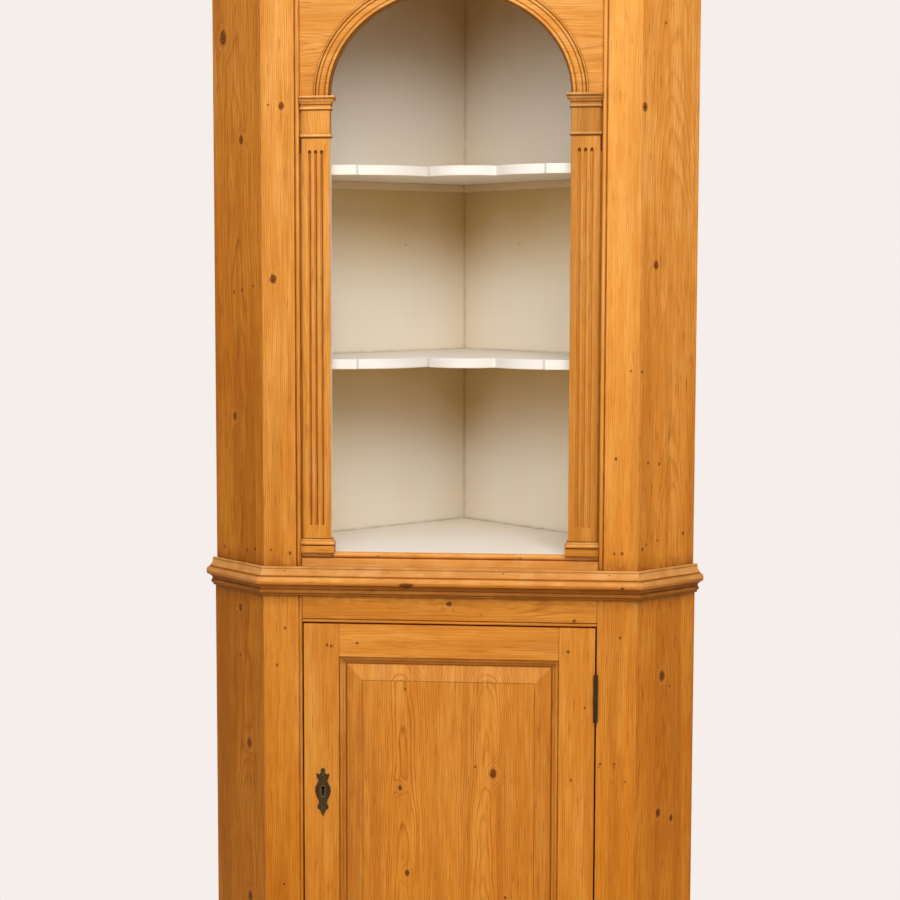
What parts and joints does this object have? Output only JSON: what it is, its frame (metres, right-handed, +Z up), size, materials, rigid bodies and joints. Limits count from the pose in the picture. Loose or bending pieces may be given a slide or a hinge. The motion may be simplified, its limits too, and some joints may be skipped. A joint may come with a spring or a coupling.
{
  "type": "corner cupboard",
  "caption": "Standing pine corner cupboard with an open arched upper stage, fluted pilasters, shaped shelves and a panelled door below",
  "frame": {"origin": "centre of the bounding box at floor level", "axes": "+Z up, -Y is the front, the two wall sides meet at +Y"},
  "size_m": [0.9636, 0.6066, 2.16],
  "materials": {
    "honey_pine": "light honey pine, waxed",
    "deep_pine": "deep orange pine, waxed",
    "bare_pine": "unfinished old pine",
    "painted_pine": "old white paint on pine",
    "iron": "dark, browned with age",
    "brass": "dark bronzed, worn"
  },
  "bodies": {
    "case": {"arch_board": "honey_pine", "arch_moulding": "honey_pine", "bottom_board": "bare_pine", "capital_left": "honey_pine", "capital_right": "honey_pine", "cornice_front": "honey_pine", "cornice_left": "honey_pine", "cornice_right": "honey_pine", "lower_back_left": "bare_pine", "lower_back_right": "bare_pine", "lower_bottom_rail": "deep_pine", "lower_hinge_frame_leaf": "iron", "lower_hinge_pin": "iron", "lower_shelf": "bare_pine", "lower_shelf_cleat_left": "bare_pine", "lower_shelf_cleat_right": "bare_pine", "lower_side_left": "deep_pine", "lower_side_right": "deep_pine", "lower_stile_left": "deep_pine", "lower_stile_right": "deep_pine", "lower_top_board": "bare_pine", "lower_top_rail": "deep_pine", "middle_shelf": "painted_pine", "middle_shelf_cleat_left": "painted_pine", "middle_shelf_cleat_right": "painted_pine", "pilaster_base_left": "honey_pine", "pilaster_base_right": "honey_pine", "pilaster_shaft_left": "honey_pine", "pilaster_shaft_right": "honey_pine", "plinth_front": "deep_pine", "plinth_left": "deep_pine", "plinth_right": "deep_pine", "sill_rail": "honey_pine", "upper_back_left": "painted_pine", "upper_back_right": "painted_pine", "upper_floor_board": "painted_pine", "upper_hinge_frame_leaf": "iron", "upper_hinge_pin": "iron", "upper_shelf": "painted_pine", "upper_shelf_cleat_left": "painted_pine", "upper_shelf_cleat_right": "painted_pine", "upper_side_left": "honey_pine", "upper_side_right": "honey_pine", "upper_stile_left": "honey_pine", "upper_stile_right": "honey_pine", "upper_top_board": "bare_pine", "waist_moulding_front": "honey_pine", "waist_moulding_left": "honey_pine", "waist_moulding_right": "honey_pine"},
    "door": {"door_lock_stile": "deep_pine", "door_hinge_stile": "deep_pine", "door_top_rail": "deep_pine", "door_bottom_rail": "deep_pine", "door_panel": "deep_pine", "escutcheon": "brass", "lock_case": "iron", "upper_hinge_door_leaf": "iron", "lower_hinge_door_leaf": "iron"},
    "bolt": {"lock_bolt": "iron"}
  },
  "joints": [
    {"name": "door_hinge", "type": "hinge", "parent": "case", "child": "door", "pos_m": [0.2675, -0.25976, 0.517], "axis": [0, 0, 1], "range_deg": [0, 150]},
    {"name": "bolt_slide", "type": "slide", "parent": "door", "child": "bolt", "axis": [-1, 0, 0], "range_m": [0, 0.008]}
  ]
}
